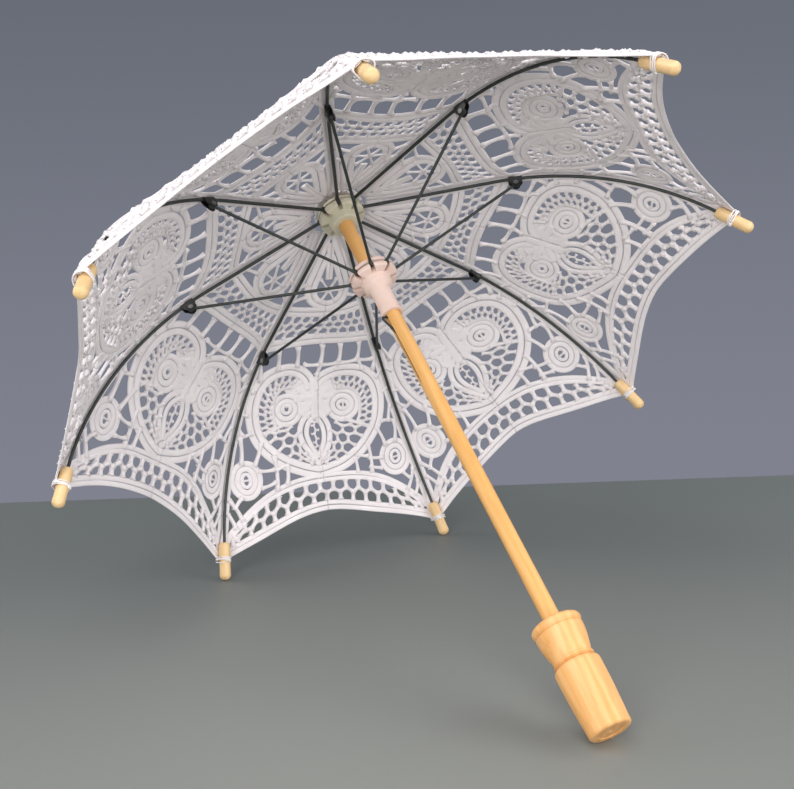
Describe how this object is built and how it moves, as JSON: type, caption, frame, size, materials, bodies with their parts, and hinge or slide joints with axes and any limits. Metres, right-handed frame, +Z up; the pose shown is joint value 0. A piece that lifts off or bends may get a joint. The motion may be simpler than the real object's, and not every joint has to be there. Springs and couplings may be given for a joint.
{
  "type": "lace parasol",
  "caption": "Small open folding parasol: lace canopy on a wire frame, wooden shaft with turned handle, sliding runner and spring catch.",
  "frame": {"origin": "on the floor under the middle of the open parasol's box", "axes": "+Z up from the floor, -Y towards the handle's end, +X to the right seen from the handle; the shaft lies in the YZ plane"},
  "size_m": [0.3736, 0.3173, 0.2991],
  "materials": {
    "shaft_wood": "smooth lacquered dowel",
    "handle_wood": "turned and lacquered",
    "tip_wood": "turned, thin lacquer",
    "crown_plastic": "moulded, satin",
    "runner_plastic": "moulded, satin",
    "wire_steel": "dark drawn wire",
    "clip_black": "black lacquer",
    "rivet_steel": "plain rivet head",
    "lace": "white cotton tape lace",
    "cap_cloth": "gathered white cotton"
  },
  "bodies": {
    "root": {"shaft": "shaft_wood", "handle": "handle_wood", "ferrule": "shaft_wood", "rosette": "cap_cloth", "crown": "crown_plastic", "crown_wire": "wire_steel"},
    "runner": {"runner": "runner_plastic", "runner_wire": "wire_steel"},
    "catch": {"catch": "wire_steel"},
    "rib_1": {"rib_wire_1": "wire_steel", "rib_tip_1": "tip_wood", "clip_1": "clip_black", "rivet_1": "rivet_steel", "lace_1": "lace"},
    "rib_2": {"rib_wire_2": "wire_steel", "rib_tip_2": "tip_wood", "clip_2": "clip_black", "rivet_2": "rivet_steel", "lace_2": "lace"},
    "rib_3": {"rib_wire_3": "wire_steel", "rib_tip_3": "tip_wood", "clip_3": "clip_black", "rivet_3": "rivet_steel", "lace_3": "lace"},
    "rib_4": {"rib_wire_4": "wire_steel", "rib_tip_4": "tip_wood", "clip_4": "clip_black", "rivet_4": "rivet_steel", "lace_4": "lace"},
    "rib_5": {"rib_wire_5": "wire_steel", "rib_tip_5": "tip_wood", "clip_5": "clip_black", "rivet_5": "rivet_steel", "lace_5": "lace"},
    "rib_6": {"rib_wire_6": "wire_steel", "rib_tip_6": "tip_wood", "clip_6": "clip_black", "rivet_6": "rivet_steel", "lace_6": "lace"},
    "rib_7": {"rib_wire_7": "wire_steel", "rib_tip_7": "tip_wood", "clip_7": "clip_black", "rivet_7": "rivet_steel", "lace_7": "lace"},
    "rib_8": {"rib_wire_8": "wire_steel", "rib_tip_8": "tip_wood", "clip_8": "clip_black", "rivet_8": "rivet_steel", "lace_8": "lace"},
    "stretcher_1": {"stretcher_1": "wire_steel"},
    "stretcher_2": {"stretcher_2": "wire_steel"},
    "stretcher_3": {"stretcher_3": "wire_steel"},
    "stretcher_4": {"stretcher_4": "wire_steel"},
    "stretcher_5": {"stretcher_5": "wire_steel"},
    "stretcher_6": {"stretcher_6": "wire_steel"},
    "stretcher_7": {"stretcher_7": "wire_steel"},
    "stretcher_8": {"stretcher_8": "wire_steel"}
  },
  "joints": [
    {"name": "fold", "type": "hinge", "parent": "root", "child": "rib_1", "pos_m": [-0.01109, 0.10388, 0.22063], "axis": [0.3827, -0.5809, 0.7184], "range_deg": [0, 58], "deforming": ["lace_1", "lace_2", "lace_3", "lace_4", "lace_5", "lace_6", "lace_7", "lace_8", "catch"]},
    {"name": "rib_2_hinge", "type": "hinge", "parent": "root", "child": "rib_2", "pos_m": [-0.00459, 0.0998, 0.22568], "axis": [0.9239, -0.2406, 0.2976], "range_deg": [0, 58]},
    {"name": "rib_3_hinge", "type": "hinge", "parent": "root", "child": "rib_3", "pos_m": [0.00459, 0.0998, 0.22568], "axis": [0.9239, 0.2406, -0.2976], "range_deg": [0, 58]},
    {"name": "rib_4_hinge", "type": "hinge", "parent": "root", "child": "rib_4", "pos_m": [0.01109, 0.10388, 0.22063], "axis": [0.3827, 0.5809, -0.7184], "range_deg": [0, 58]},
    {"name": "rib_5_hinge", "type": "hinge", "parent": "root", "child": "rib_5", "pos_m": [0.01109, 0.10966, 0.21349], "axis": [-0.3827, 0.5809, -0.7184], "range_deg": [0, 58]},
    {"name": "rib_6_hinge", "type": "hinge", "parent": "root", "child": "rib_6", "pos_m": [0.00459, 0.11374, 0.20844], "axis": [-0.9239, 0.2406, -0.2976], "range_deg": [0, 58]},
    {"name": "rib_7_hinge", "type": "hinge", "parent": "root", "child": "rib_7", "pos_m": [-0.00459, 0.11374, 0.20844], "axis": [-0.9239, -0.2406, 0.2976], "range_deg": [0, 58]},
    {"name": "rib_8_hinge", "type": "hinge", "parent": "root", "child": "rib_8", "pos_m": [-0.01109, 0.10966, 0.21349], "axis": [-0.3827, -0.5809, 0.7184], "range_deg": [0, 58]},
    {"name": "stretcher_1_rivet", "type": "hinge", "parent": "rib_1", "child": "stretcher_1", "pos_m": [-0.09195, 0.06275, 0.23045], "axis": [0.3827, -0.5809, 0.7184], "range_deg": [-116, 0]},
    {"name": "stretcher_2_rivet", "type": "hinge", "parent": "rib_2", "child": "stretcher_2", "pos_m": [-0.03809, 0.02888, 0.27233], "axis": [0.9239, -0.2406, 0.2976], "range_deg": [-116, 0]},
    {"name": "stretcher_3_rivet", "type": "hinge", "parent": "rib_3", "child": "stretcher_3", "pos_m": [0.03809, 0.02888, 0.27233], "axis": [0.9239, 0.2406, -0.2976], "range_deg": [-116, 0]},
    {"name": "stretcher_4_rivet", "type": "hinge", "parent": "rib_4", "child": "stretcher_4", "pos_m": [0.09195, 0.06275, 0.23045], "axis": [0.3827, 0.5809, -0.7184], "range_deg": [-116, 0]},
    {"name": "stretcher_5_rivet", "type": "hinge", "parent": "rib_5", "child": "stretcher_5", "pos_m": [0.09195, 0.11065, 0.17122], "axis": [-0.3827, 0.5809, -0.7184], "range_deg": [-116, 0]},
    {"name": "stretcher_6_rivet", "type": "hinge", "parent": "rib_6", "child": "stretcher_6", "pos_m": [0.03809, 0.14452, 0.12933], "axis": [-0.9239, 0.2406, -0.2976], "range_deg": [-116, 0]},
    {"name": "stretcher_7_rivet", "type": "hinge", "parent": "rib_7", "child": "stretcher_7", "pos_m": [-0.03809, 0.14452, 0.12933], "axis": [-0.9239, -0.2406, 0.2976], "range_deg": [-116, 0]},
    {"name": "stretcher_8_rivet", "type": "hinge", "parent": "rib_8", "child": "stretcher_8", "pos_m": [-0.09195, 0.11065, 0.17122], "axis": [-0.3827, -0.5809, 0.7184], "range_deg": [-116, 0]},
    {"name": "runner_hinge", "type": "hinge", "parent": "stretcher_1", "child": "runner", "pos_m": [-0.01109, 0.06374, 0.18817], "axis": [0.3827, -0.5809, 0.7184], "range_deg": [0, 58]},
    {"name": "catch_press", "type": "hinge", "parent": "root", "child": "catch", "pos_m": [-0.0006, 0.00753, 0.13681], "axis": [0, 0.6288, -0.7776], "range_deg": [0, 4.5], "stiffness_Nm_per_rad": 0.05}
  ],
  "couplings": [
    {"joint": "rib_2_hinge", "follows": "fold", "ratio": 1},
    {"joint": "rib_3_hinge", "follows": "fold", "ratio": 1},
    {"joint": "rib_4_hinge", "follows": "fold", "ratio": 1},
    {"joint": "rib_5_hinge", "follows": "fold", "ratio": 1},
    {"joint": "rib_6_hinge", "follows": "fold", "ratio": 1},
    {"joint": "rib_7_hinge", "follows": "fold", "ratio": 1},
    {"joint": "rib_8_hinge", "follows": "fold", "ratio": 1},
    {"joint": "stretcher_1_rivet", "follows": "fold", "ratio": -2},
    {"joint": "stretcher_2_rivet", "follows": "fold", "ratio": -2},
    {"joint": "stretcher_3_rivet", "follows": "fold", "ratio": -2},
    {"joint": "stretcher_4_rivet", "follows": "fold", "ratio": -2},
    {"joint": "stretcher_5_rivet", "follows": "fold", "ratio": -2},
    {"joint": "stretcher_6_rivet", "follows": "fold", "ratio": -2},
    {"joint": "stretcher_7_rivet", "follows": "fold", "ratio": -2},
    {"joint": "stretcher_8_rivet", "follows": "fold", "ratio": -2},
    {"joint": "runner_hinge", "follows": "fold", "ratio": 1}
  ]
}
